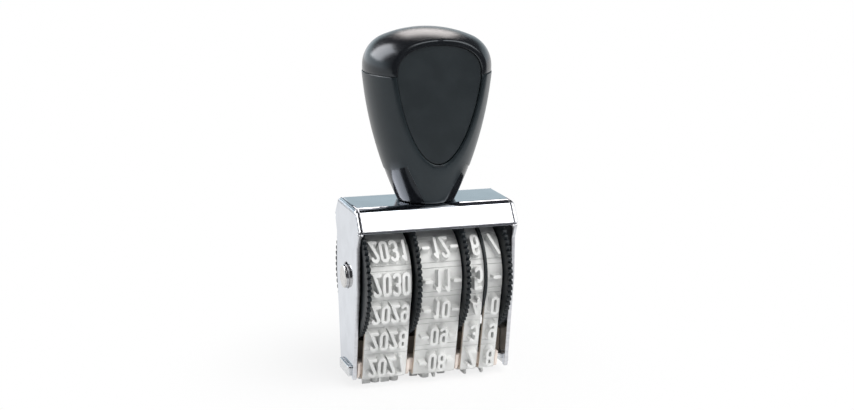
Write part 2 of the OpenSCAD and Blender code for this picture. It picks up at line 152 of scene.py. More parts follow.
# What each band carries, from the printing row up the front, over the top and down the rear.
YEARS = ["2026", "2027", "2028", "2029", "2030", "2031", "", "2032", "2033", "2034", "2035",
         "2036", "2037"]
MONTHS = ["-07-", "-08-", "-09-", "-10-", "-11-", "-12-", "", "-01-", "-02-", "-03-", "-04-",
          "-05-", "-06-"]
TENS = ["1", "2", "3", "4", "5", "6", "", "7", "8", "9", "0", "-", "/"]
UNITS = ["7", "8", "9", "0", "-", "/", "", "1", "2", "3", "4", "5", "6"]


def row_places():
    """Distances of the type rows along a band's outer face, once round from the printing row."""
    front = [FIRST_ROW + i * ROW_PITCH for i in range(SIDE_ROWS)]
    over = (HALF_LOOP - front[-1]) * 2 / 3
    top = [front[-1] + over, front[-1] + 2 * over]
    return [ROW_SHIFT] + front + top + [2 * HALF_LOOP - s for s in reversed(front)]


def on_outer_face(s):
    """The point (depth, height) at a distance s along the outer face, and the way out there.
    Depth is counted from the middle towards the front, and is negative down the rear."""
    if s > HALF_LOOP:
        point, out = on_outer_face(2 * HALF_LOOP - s)
        return Vector((-point.x, point.y)), Vector((-out.x, out.y))
    if s < 0:
        point, out = on_outer_face(-s)
        return Vector((-point.x, point.y)), Vector((-out.x, out.y))
    if s <= OUTER_FOOT.x:
        return Vector((s, OUTER_FOOT.y)), Vector((0, -1))
    s -= OUTER_FOOT.x
    if s <= OUTER_SIDE:
        return OUTER_FOOT + s * SIDE_DIR, SIDE_OUT
    turn = (s - OUTER_SIDE) / OUTER_R - LEAN
    out = Vector((math.cos(turn), math.sin(turn)))
    return Vector((0, AXLE_H)) + OUTER_R * out, out


# ---- mesh helpers
def put_in_scene(name, data):
    """A new object at the origin, linked to the scene."""
    obj = bpy.data.objects.new(name, data)
    bpy.context.scene.collection.objects.link(obj)
    return obj


def new_object(name, verts, faces, materials=(), slots=None, scale=MM):
    """An object at the origin from vertices in millimetres."""
    mesh = bpy.data.meshes.new(name)
    mesh.from_pydata([tuple(c * scale for c in v) for v in verts], [], faces)
    for material in materials:
        mesh.materials.append(material)
    if slots:
        mesh.polygons.foreach_set("material_index", slots)
    work = bmesh.new()
    work.from_mesh(mesh)
    bmesh.ops.recalc_face_normals(work, faces=work.faces)
    work.to_mesh(mesh)
    work.free()
    return put_in_scene(name, mesh)


def smooth(obj, angle):
    """Shades an object smooth, with edges sharper than an angle in degrees kept."""
    obj.data.shade_smooth()
    obj.data.set_sharp_from_angle(angle=math.radians(angle))


def arc(centre, radius, start, end, steps):
    """Points on an arc, from one angle in degrees to another."""
    turns = [math.radians(start + (end - start) * i / steps) for i in range(steps + 1)]
    return [Vector((centre[0] + radius * math.cos(t), centre[1] + radius * math.sin(t)))
            for t in turns]


def rounded(corners):
    """The outline through corners, each given as x, y and the radius it is rounded to."""
    outline = []
    n = len(corners)
    for i, (x, y, radius) in enumerate(corners):
        here = Vector((x, y))
        back = (Vector(corners[i - 1][:2]) - here).normalized()
        ahead = (Vector(corners[(i + 1) % n][:2]) - here).normalized()
        if radius == 0 or abs(back.cross(ahead)) < 1e-6:
            outline.append(here)
            continue
        half = back.angle(ahead) / 2
        centre = here + (back + ahead).normalized() * radius / math.sin(half)
        first = here + back * radius / math.tan(half) - centre
        turn = (math.pi - 2 * half) * (1 if back.cross(ahead) < 0 else -1)
        steps = max(2, math.ceil(abs(math.degrees(turn)) / 5))
        for k in range(steps + 1):
            spin = Matrix.Rotation(turn * k / steps, 2)
            outline.append(centre + spin @ first)
    return outline


def mirrored(side):
    """An outline closed with its own mirror image across x = 0."""
    return list(side) + [(-x, y, *rest) for x, y, *rest in reversed(side)]


def side_faces(n, rings):
    """The faces that join rings of n vertices, each to the next one."""
    return [(k * n + i, k * n + (i + 1) % n, (k + 1) * n + (i + 1) % n, (k + 1) * n + i)
            for k in range(rings - 1) for i in range(n)]


def prism(outline, axis, low, high):
    """A closed solid in millimetres: an outline drawn out along X, Y or Z."""
    lift = {"X": lambda p, t: (t, p[0], p[1]), "Y": lambda p, t: (p[0], t, p[1]),
            "Z": lambda p, t: (p[0], p[1], t)}[axis]
    n = len(outline)
    verts = [lift(p, t) for t in (low, high) for p in outline]
    faces = [tuple(range(n)), tuple(range(2 * n - 1, n - 1, -1)), *side_faces(n, 2)]
    return new_object("prism", verts, faces, scale=1)


def block(low, high):
    """A box between two corners, in millimetres."""
    return prism([(low[0], low[1]), (high[0], low[1]), (high[0], high[1]), (low[0], high[1])],
                 "Z", low[2], high[2])


def circle(centre, radius, steps=48):
    """The outline of a circle."""
    return arc(centre, radius, 0, 360 * (steps - 1) / steps, steps - 1)


def apply_modifiers(obj):
    """Makes the mesh that an object's modifiers give its own."""
    mesh = bpy.data.meshes.new_from_object(
        obj.evaluated_get(bpy.context.evaluated_depsgraph_get()))
    obj.modifiers.clear()
    obj.data = mesh


def combine(base, operation, others):
    """Cuts, joins or intersects a solid with others, which are used up."""
    for other in others:
        step = base.modifiers.new("step", "BOOLEAN")
        step.operation = operation
        step.solver = "EXACT"
        step.object = other
        apply_modifiers(base)
        bpy.data.objects.remove(other)
    return base


def finish_solid(solid, name, finish, edge, sharp=30, segments=2, edge_finish=None):
    """Rounds a solid's edges, takes it from millimetres to metres and gives it its finishes."""
    work = bmesh.new()
    work.from_mesh(solid.data)
    bmesh.ops.remove_doubles(work, verts=work.verts, dist=WELD)
    if edge:
        bmesh.ops.dissolve_limit(work, angle_limit=math.radians(FLAT_ENOUGH),
                                 verts=work.verts, edges=work.edges)
    bmesh.ops.recalc_face_normals(work, faces=work.faces)
    work.to_mesh(solid.data)
    work.free()
    solid.data.materials.clear()
    solid.data.materials.append(finishes()[finish])
    if edge_finish:
        solid.data.materials.append(finishes()[edge_finish])
    if edge:
        bevel = solid.modifiers.new("edge", "BEVEL")
        bevel.width = edge
        bevel.segments = segments
        bevel.angle_limit = math.radians(sharp)
        bevel.use_clamp_overlap = False
        bevel.miter_outer = "MITER_ARC"
        if edge_finish:
            bevel.material = 1
        apply_modifiers(solid)
    solid.data.transform(Matrix.Scale(MM, 4))
    solid.name = solid.data.name = name
    smooth(solid, sharp)
    even = solid.modifiers.new("even", "WEIGHTED_NORMAL")
    even.keep_sharp = True
    return solid


def rounded_copy(node, finish, edge, reshape=None):
    """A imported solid's twin with rounded edges, which stands for it."""
    mesh = NODES[node].data.copy()
    mesh.transform(Matrix.Scale(1 / MM, 4))
    if reshape:
        reshape(mesh)
    return finish_solid(put_in_scene(node, mesh), node + "_finished", finish, edge)


def stand_for(piece, node, body="stand"):
    """Puts a piece on its body in place of its plain solid."""
    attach(piece, body)
    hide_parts(node)


def offset_line(points, closed, distance):
    """A path moved to its left by a distance, mitred at its corners."""
    moved = []
    n = len(points)
    for i, p in enumerate(points):
        ways = []
        if closed or i > 0:
            ways.append((p - points[i - 1]).normalized())
        if closed or i < n - 1:
            ways.append((points[(i + 1) % n] - p).normalized())
        lefts = [Vector((-w.y, w.x)) for w in ways]
        across = sum(lefts, Vector((0, 0))).normalized()
        moved.append(p + across * distance / max(across.dot(lefts[0]), MITRE_LIMIT))
    return moved


def stroke_outline(points, distance, cap_steps=4):
    """The outline of an open stroke with round ends, a distance from its path."""
    outline = []
    for path in (points, points[::-1]):
        outline += offset_line(path, False, distance)
        along = (path[-1] - path[-2]).normalized()
        left = Vector((-along.y, along.x))
        for k in range(1, cap_steps):
            turn = math.pi * k / cap_steps
            outline.append(path[-1] + distance * (math.cos(turn) * left + math.sin(turn) * along))
    return outline


# ---- type
def numeral_paths(half_w, half_h):
    """The middle lines of each character's strokes, each with a flag for a closed ring."""
    a, h = half_w, half_h

    def ring(low, high, r):
        return (arc((0, high - r), r, 0, 180, 8) + arc((0, low + r), r, 180, 360, 8), True)

    def hook(low, high, start, end, r=a):
        """The right-hand side of a bowl, from one angle at its top to another at its foot."""
        return arc((0, high - r), r, start, 0, 7) + arc((0, low + r), r, 0, end, 7)

    six = [
        ring(-h, 0.35, a),
        ([Vector((-a, -h + a + 0.4)), Vector((-a, h - a))] + arc((0, h - a), a, 180, 20, 6)[1:],
         False),
    ]
    return {
        "0": [ring(-h, h, a)],
        "1": [([Vector((0.2, -h)), Vector((0.2, h))], False),
              ([Vector((0.2, h)), Vector((-0.26, h - 0.5))], False)],
        "2": [(arc((0, h - a), a, 170, -35, 10) + [Vector((-a, -h)), Vector((a, -h))], False)],
        "3": [(hook(0.02, h, 160, -90), False), (hook(-h, 0.02, 90, -160), False)],
        "4": [([Vector((0.25, h)), Vector((-a, -0.75)), Vector((a + 0.08, -0.75))], False),
              ([Vector((0.3, 0.2)), Vector((0.3, -h))], False)],
        "5": [([Vector((a, h)), Vector((-a + 0.05, h)), Vector((-a, 0.15))], False),
              ([Vector((-a, 0.15))] + hook(-h, 0.48, 120, -160), False)],
        "6": six,
        "7": [([Vector((-a, h)), Vector((a, h)), Vector((-0.12, -h))], False)],
        "8": [ring(-h, 0.12, a), ring(0.12, h, a * 0.92)],
        "9": [([-p for p in path], closed) for path, closed in six],
        "-": [([Vector((-0.54, 0)), Vector((0.54, 0))], False)],
        "/": [([Vector((-0.72, -h)), Vector((0.72, h))], False)],
    }


def raised_stroke(path, closed, levels):
    """Vertices and faces of one stroke whose flanks spread towards its base.
    A level is a distance from the path and a height, from the base to the top."""
    verts, faces, starts = [], [], []
    for distance, height in levels:
        if closed:
            lines = [offset_line(path, True, -distance), offset_line(path, True, distance)]
        else:
            lines = [stroke_outline(path, distance)]
        starts.append([])
        for line in lines:
            starts[-1].append(len(verts))
            verts += [(p.x, p.y, height) for p in line]
    n = len(line)

    def join(one, other):
        return [(one + i, one + (i + 1) % n, other + (i + 1) % n, other + i) for i in range(n)]

    for low, high in zip(starts, starts[1:]):
        for one, other in zip(low, high):
            faces += join(one, other)
    for level in (starts[0], starts[-1]):
        faces += join(*level) if closed else [tuple(range(level[0], level[0] + n))]
    return verts, faces


def character_mesh(strokes, levels):
    """One character as a closed mesh: its strokes joined where they cross."""
    parts = [new_object("stroke", *raised_stroke(path, closed, levels), scale=1)
             for path, closed in strokes]
    whole = combine(parts[0], "UNION", parts[1:])
    verts = [v.co.copy() for v in whole.data.vertices]
    faces = [tuple(p.vertices) for p in whole.data.polygons]
    bpy.data.objects.remove(whole)
    return verts, faces


def loop_stations(groove_depth):
    """The places round a band where it has a cross-section, in order, each with its point on
    the outer face, the way out there, and how deep the face is sunk by a groove."""
    rows = row_places()
    halfway = [(a + b) / 2 for a, b in zip(rows, rows[1:] + [2 * HALF_LOOP])]
    halfway[0] = rows[1] - ROW_PITCH / 2
    halfway[-1] = 2 * HALF_LOOP - halfway[0]
    places = {i * 2 * HALF_LOOP / BAND_STEPS for i in range(BAND_STEPS)}
    for h in halfway:
        places = {s for s in places if abs(s - h) > GROOVE_AT + 2 * GROOVE_FLANK}
        places |= {h + side * GROOVE_AT + d for side in (-1, 1)
                   for d in (-GROOVE_FLANK, 0, GROOVE_FLANK)}
    corners = [OUTER_FOOT.x, 2 * HALF_LOOP - OUTER_FOOT.x]
    places = sorted(s for s in places if all(abs(s - c) > FOOT_BEND for c in corners))
    stations = []
    for s in places:
        point, out = on_outer_face(s)
        grooved = any(abs(abs(s - h) - GROOVE_AT) < 0.01 for h in halfway)
        stations.append((s, point, out, groove_depth if grooved else 0))
    for c in corners:
        side = 1 if c < HALF_LOOP else -1
        first, second = on_outer_face(c - FOOT_BEND), on_outer_face(c + FOOT_BEND)
        tip = Vector((side * OUTER_FOOT.x, OUTER_FOOT.y))
        for k in range(BEND_STEPS + 1):
            t = k / BEND_STEPS
            point = (1 - t) ** 2 * first[0] + 2 * t * (1 - t) * tip + t * t * second[0]
            out = ((1 - t) * first[1] + t * second[1]).normalized()
            stations.append((c - FOOT_BEND + 2 * FOOT_BEND * t, point, out, 0))
    return sorted(stations, key=lambda station: station[0])


def rubber_loop(width, middle, groove_depth):
    """Vertices, faces and face slots of a plain band with a pair of fine grooves between its
    rows. The second slot is for its cut sides."""
    half, edge = width / 2, BAND_EDGE
    verts, faces, slots = [], [], []
    stations = loop_stations(groove_depth)
    for _, point, out, sunk in stations:
        top = -sunk
        ring = [(-half, -BAND_T + edge), (-half, top - edge),
                (-half + 0.3 * edge, top - 0.3 * edge), (-half + edge, top),
                (half - edge, top), (half - 0.3 * edge, top - 0.3 * edge),
                (half, top - edge), (half, -BAND_T + edge), (half - edge, -BAND_T),
                (-half + edge, -BAND_T)]
        for x, d in ring:
            p = point + d * out
            verts.append((x + middle, -p.x, p.y))
    n = len(ring)
    for i in range(len(stations)):
        j = (i + 1) % len(stations)
        for k in range(n):
            m = (k + 1) % n
            faces.append((i * n + k, i * n + m, j * n + m, j * n + k))
            slots.append(1 if k in CUT_SIDES else 0)
    return verts, faces, slots


def build_band(name, width, middle, texts, settings):
    """A rubber band with raised mirror-written type, in place of its plain solid."""
    light, edge = finishes()["band_rubber"], finishes()["band_edge"]
    sizes = (settings.type_height, settings.type_width, settings.type_pitch, settings.stroke,
             settings.groove_depth)
    # A vector holds them in single precision, to which the joints between strokes are sensitive.
    height, type_width, pitch, stroke, groove = Vector([round(size / MM, 5) for size in sizes])
    verts, faces, slots = rubber_loop(width, middle, groove)
    levels = [(stroke / 2 + flank, rise) for flank, rise in STROKE_FLANK]
    paths = numeral_paths((type_width - stroke) / 2, (height - stroke) / 2)
    made = {}
    for s, text in zip(row_places(), texts):
        for i, letter in enumerate(text):
            if letter not in made:
                made[letter] = character_mesh(paths[letter], levels)
            own_verts, own_faces = made[letter]
            across = (i - (len(text) - 1) / 2) * pitch + middle
            first = len(verts)
            for v in own_verts:
                point, out = on_outer_face(s - v.y)
                p = point + v.z * out
                verts.append((v.x + across, -p.x, p.y))
            faces += [tuple(first + k for k in f) for f in own_faces]
            slots += [0] * len(own_faces)
    band = new_object(name, verts, faces, (light, edge), slots)
    smooth(band, 32)
    return band


# ---- wheels
def deeper_gaps(mesh):
    """Sinks the gaps between a wheel's teeth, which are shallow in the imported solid."""
    for vertex in mesh.vertices:
        out = Vector((0, vertex.co.y, vertex.co.z - AXLE_H))
        if abs(out.length - GAP_R) < 0.02:
            vertex.co += out.normalized() * (DEEP_GAP_R - out.length)


# ---- frame
def sheet_frame():
    """The frame as one bent sheet: its top, its two sloping faces and its two cheeks."""
    slope = (HOOD_LIP - HOOD_CORNER).normalized()
    inward = Vector((slope.y, -slope.x)) * SHEET
    outer = rounded([(HOOD_LIP.x, HOOD_LIP.y, 0), (HOOD_CORNER.x, HOOD_CORNER.y, HOOD_BEND),
                     (-HOOD_CORNER.x, HOOD_CORNER.y, HOOD_BEND), (-HOOD_LIP.x, HOOD_LIP.y, 0)])
    shift = SHEET * math.tan(slope.angle(Vector((1, 0))) / 2)
    inner = rounded([(HOOD_LIP.x + inward.x + slope.x, HOOD_LIP.y + inward.y + slope.y, 0),
                     (HOOD_CORNER.x - shift, PLATE_Z - SHEET, HOOD_BEND - SHEET),
                     (-HOOD_CORNER.x + shift, PLATE_Z - SHEET, HOOD_BEND - SHEET),
                     (-HOOD_LIP.x - inward.x - slope.x, HOOD_LIP.y + inward.y + slope.y, 0)])
    cheek = rounded(mirrored(CHEEK_CORNERS))
    lip = HOOD_LIP + inward
    cheek_side = cheek[:len(cheek) // 2]
    outline = cheek_side + outer + [(-p[0], p[1]) for p in reversed(cheek_side)]
    whole = prism(outline, "X", -FRAME_HALF, FRAME_HALF)

    def front_outline(inset):
        half = FRAME_HALF - inset
        radius = SIDE_BEND - inset
        return rounded([(half, -1, 0), (half, PLATE_Z - inset, radius),
                        (-half, PLATE_Z - inset, radius), (-half, -1, 0)])

    combine(whole, "INTERSECT", [prism(front_outline(0), "Y", -BEYOND, BEYOND)])
    room = prism([(lip.x + slope.x, -2)] + inner + [(-lip.x - slope.x, -2)],
                 "X", -FRAME_HALF + SHEET, FRAME_HALF - SHEET)
    combine(room, "INTERSECT", [prism(front_outline(SHEET), "Y", -BEYOND, BEYOND)])
    below = prism([(BEYOND, -2), (BEYOND, lip.y - 2), (lip.x, lip.y), (-lip.x, lip.y),
                   (-BEYOND, lip.y - 2), (-BEYOND, -2)], "X", -FRAME_HALF + SHEET,
                  FRAME_HALF - SHEET)
    cuts = [room, below,
            prism(circle((0, AXLE_HOLE_Z), AXLE_HOLE_R, 64), "X", -BEYOND, BEYOND),
            block((-BEYOND, -NOTCH_HALF, 0), (BEYOND, NOTCH_HALF, NOTCH_TOP)),
            prism(circle((0, 0), SCREW_HOLE_R), "Z", PLATE_Z - 6, PLATE_Z + 4)]
    for side, slot_out in ((-1, SEAM_OUT), (1, SEAM_SHUT)):
        for way in (-1, 1):
            x = sorted((side * SEAM_IN, side * slot_out))
            y = sorted((way * SEAM_START, way * 10))
            cuts.append(block((x[0], y[0], SEAM_FOOT), (x[1], y[1], PLATE_Z + 1)))
    return combine(whole, "DIFFERENCE", cuts)


# ---- handle
def handle_radius(z, inset=0.0):
    """The radius of the handle's revolve at a height, an inset inside its surface."""
    if z < SEAM_Z:
        return BULGE_C.x + math.sqrt((BULGE_R - inset) ** 2 - (z - BULGE_C.y) ** 2)
    crown = math.sqrt(max((CROWN_R - inset) ** 2 - (z - CROWN_Z) ** 2, 0))
    if z < SHOULDER_Z:
        return CAP_R - inset
    if crown < (CROWN_R - inset) * SHOULDER_X / (CROWN_R - SHOULDER_R):
        return crown
    return SHOULDER_X + math.sqrt(max((SHOULDER_R - inset) ** 2 - (z - SHOULDER_Z) ** 2, 0))


def flattened_revolve(profile, steps=240, blend=0.45):
    """A closed solid from a profile of (radius, height), with its two flats blended in."""
    verts = []
    for radius, z in profile:
        for i in range(steps):
            turn = 2 * math.pi * i / steps
            flat = FLAT_HALF / max(abs(math.sin(turn)), 0.01)
            soft = max(blend - abs(radius - flat), 0) / blend
            reach = min(radius, flat) - soft * soft * blend / 4
            verts.append((reach * math.cos(turn), reach * math.sin(turn), z))
    faces = side_faces(steps, len(profile))
    faces.append(tuple(range(steps)))
    faces.append(tuple(range(len(verts) - steps, len(verts))))
    return new_object("revolve", verts, faces, scale=1)


def panel_outline(inset):
    """The outline of a panel's pocket on the handle's flat, as (x, z), an inset inside it."""
    def room(z):
        radius = handle_radius(z + RIM_DROP, RIM + inset)
        return radius * radius - (PANEL_FACE + 0.2) ** 2

    def edge(inside, outside):
        for _ in range(40):
            middle = (inside + outside) / 2
            inside, outside = (middle, outside) if room(middle) > 0 else (inside, middle)
        return inside

    low, high = edge(SEAM_Z, PLATE_Z), edge(SEAM_Z, CAP_TOP - 1)
    heights = [(low + high) / 2 - (high - low) / 2 * math.cos(math.pi * i / PANEL_STEPS)
               for i in range(PANEL_STEPS + 1)]
    side = [(math.sqrt(max(room(z), 0)), z) for z in heights[1:-1]]
    return [(0, low)] + side + [(0, high)] + [(-x, z) for x, z in reversed(side)]


def body_profile():
    """The profile of the handle's body, from its neck to its seam."""
    first, last = PLATE_Z + BODY_START, SEAM_Z - SEAM_CHAMFER
    heights = [first + (last - first) * i / BODY_STEPS for i in range(BODY_STEPS + 1)]
    return ([(NECK_R + inward, PLATE_Z + upward) for inward, upward in NECK_EDGE]
            + [(handle_radius(z), z) for z in heights] + [(SEAM_R - SEAM_CHAMFER, SEAM_Z)])


def handle_body():
    """The handle's body, cut back round its neck and hollowed for its panels and its screw."""
    top = PLATE_Z + COLLAR_H
    beside = [[(side * TONGUE[0], PLATE_Z - 1), (side * TONGUE[0], PLATE_Z),
               (side * TONGUE[1], top), (side * TONGUE_SIDE, top - COLLAR_DIP),
               (side * BEYOND, top - COLLAR_DIP), (side * BEYOND, PLATE_Z - 1)]
              for side in (-1, 1)]
    cuts = [prism(outline, "Y", -12, 12) for outline in beside] + pockets()
    cuts.append(prism(circle((0, 0), BORE_R), "Z", PLATE_Z - 1, PLATE_Z + BORE_TOP))
    return combine(flattened_revolve(body_profile()), "DIFFERENCE", cuts)


def neck_collar():
    """The polished collar that shows at both sides of the body's tongue."""
    top = PLATE_Z + COLLAR_H + COLLAR_ROOT
    inner = [(r - COLLAR_STEP, z) for r, z in body_profile() if z < top]
    return flattened_revolve(inner)


def handle_cap():
    """The handle's cap, with the groove at its seam."""
    profile = [(CAP_R + inward, SEAM_Z + upward) for inward, upward in CAP_GROOVE]
    profile.append((CAP_R, SHOULDER_Z - 0.3))
    shoulder = arc((SHOULDER_X, SHOULDER_Z), SHOULDER_R, 0, SHOULDER_TURN, CAP_STEPS)
    crown = arc((0, CROWN_Z), CROWN_R, SHOULDER_TURN, CROWN_END, CAP_STEPS)
    profile += [tuple(p) for p in shoulder + crown[1:]]
    return combine(flattened_revolve(profile), "DIFFERENCE", pockets())


def pockets():
    """The cutters of the two pockets in the flats, which open out at the rim."""
    tight, wide = panel_outline(0), panel_outline(-RIM_CUT)
    levels = ((PANEL_FACE - PANEL_T, tight), (FLAT_HALF - RIM_CUT, tight),
              (FLAT_HALF + 0.05, wide), (FLAT_HALF + 3, wide))
    cutters = []
    for side in (-1, 1):
        n = len(tight)
        verts = [(x, side * y, z) for y, outline in levels for x, z in outline]
        faces = [tuple(range(n)), tuple(range(3 * n, 4 * n)), *side_faces(n, len(levels))]
        cutters.append(new_object("pocket", verts, faces, scale=1))
    return cutters


# ---- materials
def node_material(name):
    """A new node material, with its tree, its shader and the object's own coordinates."""
    material = bpy.data.materials.new(name)
    material.use_nodes = True
    tree = material.node_tree
    shader = tree.nodes["Principled BSDF"]
    place = tree.nodes.new("ShaderNodeTexCoord")
    return material, tree, shader, place.outputs["Object"]


def noise(tree, place, scale, detail=3.0, stretch=(1, 1, 1)):
    """A noise pattern over an object's own coordinates, with a scale per metre."""
    stretched = tree.nodes.new("ShaderNodeMapping")
    stretched.inputs["Scale"].default_value = stretch
    tree.links.new(place, stretched.inputs["Vector"])
    pattern = tree.nodes.new("ShaderNodeTexNoise")
    pattern.inputs["Scale"].default_value = scale
    pattern.inputs["Detail"].default_value = detail
    tree.links.new(stretched.outputs["Vector"], pattern.inputs["Vector"])
    return pattern.outputs["Fac"]


def ramp(tree, factor, low, high, start=0.35, end=0.65):
    """A colour that goes from low to high as a pattern rises."""
    colours = tree.nodes.new("ShaderNodeValToRGB")
    colours.color_ramp.interpolation = "EASE"
    colours.color_ramp.elements[0].position = start
    colours.color_ramp.elements[0].color = (*low, 1)
    colours.color_ramp.elements[1].position = end
    colours.color_ramp.elements[1].color = (*high, 1)
    tree.links.new(factor, colours.inputs["Fac"])
    return colours.outputs["Color"]


def eased(tree, value, span, reach):
    """A number that eases from one end of its reach to the other over a span of a value."""
    step = tree.nodes.new("ShaderNodeMapRange")
    step.interpolation_type = "SMOOTHSTEP"
    step.inputs["From Min"].default_value, step.inputs["From Max"].default_value = span
    step.inputs["To Min"].default_value, step.inputs["To Max"].default_value = reach
    tree.links.new(value, step.inputs["Value"])
    return step.outputs["Result"]


def roughen(tree, shader, pattern, low, high):
    """Roughness that goes from low to high as a pattern rises."""
    tree.links.new(eased(tree, pattern, (0.3, 0.7), (low, high)), shader.inputs["Roughness"])


def bump(tree, shader, factor, distance, strength=1.0):
    """Fine relief, with a depth in metres."""
    relief = tree.nodes.new("ShaderNodeBump")
    relief.inputs["Strength"].default_value = strength
    relief.inputs["Distance"].default_value = distance
    tree.links.new(factor, relief.inputs["Height"])
    tree.links.new(relief.outputs["Normal"], shader.inputs["Normal"])


def worn_edges(tree, clean, worn, low=0.52, high=0.62):
    """A colour that turns to another one on outward edges."""
    shape = tree.nodes.new("ShaderNodeNewGeometry")
    edge = tree.nodes.new("ShaderNodeMapRange")
    edge.inputs["From Min"].default_value = low
    edge.inputs["From Max"].default_value = high
    tree.links.new(shape.outputs["Pointiness"], edge.inputs["Value"])
    blend = tree.nodes.new("ShaderNodeMix")
    blend.data_type = "RGBA"
    tree.links.new(edge.outputs["Result"], blend.inputs["Factor"])
    tree.links.new(clean, blend.inputs["A"])
    blend.inputs["B"].default_value = (*worn, 1)
    return blend.outputs["Result"]


def shader_mix(tree, factor, usual, other):
    """One shader that goes over into another as a factor rises."""
    mix = tree.nodes.new("ShaderNodeMixShader")
    tree.links.new(factor, mix.inputs["Fac"])
    tree.links.new(usual, mix.inputs[1])
    tree.links.new(other, mix.inputs[2])
    return mix.outputs["Shader"]


def shade(colour, factor):
    """A colour made lighter or darker."""
    return tuple(min(1, c * factor) for c in colour)


def plated_steel(name, colour, roughness):
    """Bright plated sheet, with faint smears and hairlines."""
    material, tree, shader, place = node_material(name)
    shader.inputs["Metallic"].default_value = 1
    smear = noise(tree, place, 260, 4)
    tint = ramp(tree, smear, shade(colour, 0.96), shade(colour, 1.03))
    tree.links.new(tint, shader.inputs["Base Color"])
    roughen(tree, shader, smear, roughness * 0.75, roughness * 1.35)
    hairs = noise(tree, place, 900, 2, (0.15, 1, 4))
    bump(tree, shader, hairs, 0.000004, 0.5)
    return material


def turned_steel(name, colour, roughness):
    """Plain steel with fine marks along it."""
    material, tree, shader, place = node_material(name)
    shader.inputs["Metallic"].default_value = 1
    grain = noise(tree, place, 1400, 3, (0.2, 1, 1))
    tree.links.new(ramp(tree, grain, shade(colour, 0.88), shade(colour, 1.06)),
                   shader.inputs["Base Color"])
    roughen(tree, shader, grain, roughness * 0.8, roughness * 1.3)
    bump(tree, shader, grain, 0.00001, 0.6)
    return material


def moulded(name, colour, roughness, grain_size, grain_depth, worn=None, gloss=0.5,
            gleam=(1, 1, 1)):
    """Moulded plastic or rubber, with its grain size in millimetres and depth in metres. Worn
    is the colour of its outward edges, gloss its specular level and gleam its tint."""
    material, tree, shader, place = node_material(name)
    patches = noise(tree, place, 220, 3)
    tint = ramp(tree, patches, shade(colour, 0.92), shade(colour, 1.07))
    if worn:
        tint = worn_edges(tree, tint, worn)
    tree.links.new(tint, shader.inputs["Base Color"])
    roughen(tree, shader, patches, roughness * 0.95, roughness * 1.06)
    shader.inputs["Specular IOR Level"].default_value = gloss
    shader.inputs["Specular Tint"].default_value = (*gleam, 1)
    bump(tree, shader, noise(tree, place, 1 / (grain_size * MM), 2), grain_depth, 0.8)
    return material


COOL = (0.86, 0.94, 1)
_made = {}


def finishes():
    """Every finish of the stamp, by name, made once. Behind its name each has its colour and
    its roughness, and a moulded one the size and the depth of its grain."""
    if not _made:
        look = bpy.context.scene.stamp_finish
        _made.update({
            "frame_steel": plated_steel("plated_sheet", look.plate, 0.055),
            "axle_steel": turned_steel("bright_tube", (0.62, 0.61, 0.60), 0.2),
            "bar_steel": turned_steel("plain_steel", (0.70, 0.71, 0.72), 0.24),
            "cut_steel": turned_steel("cut_sheet_edge", (0.70, 0.71, 0.74), 0.38),
            "wheel_plastic": moulded("black_wheel", look.wheel, 0.48, 0.25, 0.00001,
                                     shade(look.wheel, 1.5), gloss=0.35),
            "band_rubber": moulded("light_rubber", look.rubber, 0.62, 0.18, 0.000012),
            "band_edge": moulded("rubber_edge", look.rubber_edge, 0.7, 0.2, 0.00002),
            # Beige bridge plastic painted dark brown: painted shade on the web between the bands.
            "painted_shade_web": moulded("painted_shade_web", (0.26, 0.22, 0.18), 0.6, 0.3, 0.00001),
            "bridge_plastic": moulded("beige_cushion", look.bridge, 0.6, 0.3, 0.00001),
            "handle_satin": moulded("satin_grip", look.grip, 0.30, 0.14, 0.000004,
                                    gloss=0.42, gleam=COOL),
            "handle_gloss": moulded("glossy_cap", look.cap, 0.24, 0.6, 0.000001,
                                    gleam=COOL),
            "polished_neck": moulded("polished_neck", look.cap, 0.14, 0.6, 0.000001,
                                     gloss=0.4, gleam=COOL),
            "panel_satin": moulded("grained_panel", look.panel, 0.42, 0.16, 0.00001),
        })
    return _made


def dress(node, finish):
    """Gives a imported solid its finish."""
    mesh = NODES[node].data
    mesh.materials.clear()
    mesh.materials.append(finishes()[finish])


# ---- settings
class TypeSettings(bpy.types.PropertyGroup):
    """Sizes of the raised type."""
    type_height: FloatProperty(
        name="Type height", description="Height of a character", unit="LENGTH", precision=5,
        default=0.004)
    type_width: FloatProperty(
        name="Type width", description="Width of a character", unit="LENGTH", precision=5,
        default=0.00172)
    type_pitch: FloatProperty(
        name="Type pitch", description="Spacing of the characters in a row", unit="LENGTH",
        precision=5, default=0.00191)
    stroke: FloatProperty(
        name="Stroke", description="Width of a stroke's face", unit="LENGTH", precision=5,
        default=0.0006)
    groove_depth: FloatProperty(
        name="Groove depth", description="Depth of the grooves between rows", unit="LENGTH",
        precision=5, default=0.0002)


class FinishSettings(bpy.types.PropertyGroup):
    """Colours of the stamp's finishes."""
    plate: FloatVectorProperty(
        name="Plate", description="Plated sheet", subtype="COLOR", default=(0.62, 0.65, 0.70))
    rubber: FloatVectorProperty(
        name="Rubber", description="Face of the bands", subtype="COLOR",
        default=(0.745, 0.75, 0.74))
    rubber_edge: FloatVectorProperty(
        name="Rubber edge", description="Cut sides of the bands", subtype="COLOR",
        default=(0.66, 0.58, 0.50))
    wheel: FloatVectorProperty(
        name="Wheels", description="Setting wheels", subtype="COLOR",
        default=(0.009, 0.013, 0.016))
    bridge: FloatVectorProperty(
        name="Bridge", description="Cushion under the type", subtype="COLOR",
        default=(0.82, 0.73, 0.67))
    grip: FloatVectorProperty(
        name="Grip", description="Body of the handle", subtype="COLOR",
        default=(0.012, 0.017, 0.020))
    cap: FloatVectorProperty(
        name="Cap", description="Cap and neck of the handle", subtype="COLOR",
        default=(0.008, 0.009, 0.011))
    panel: FloatVectorProperty(
        name="Panel", description="Plates in the handle's flats", subtype="COLOR",
        default=(0.012, 0.018, 0.022))


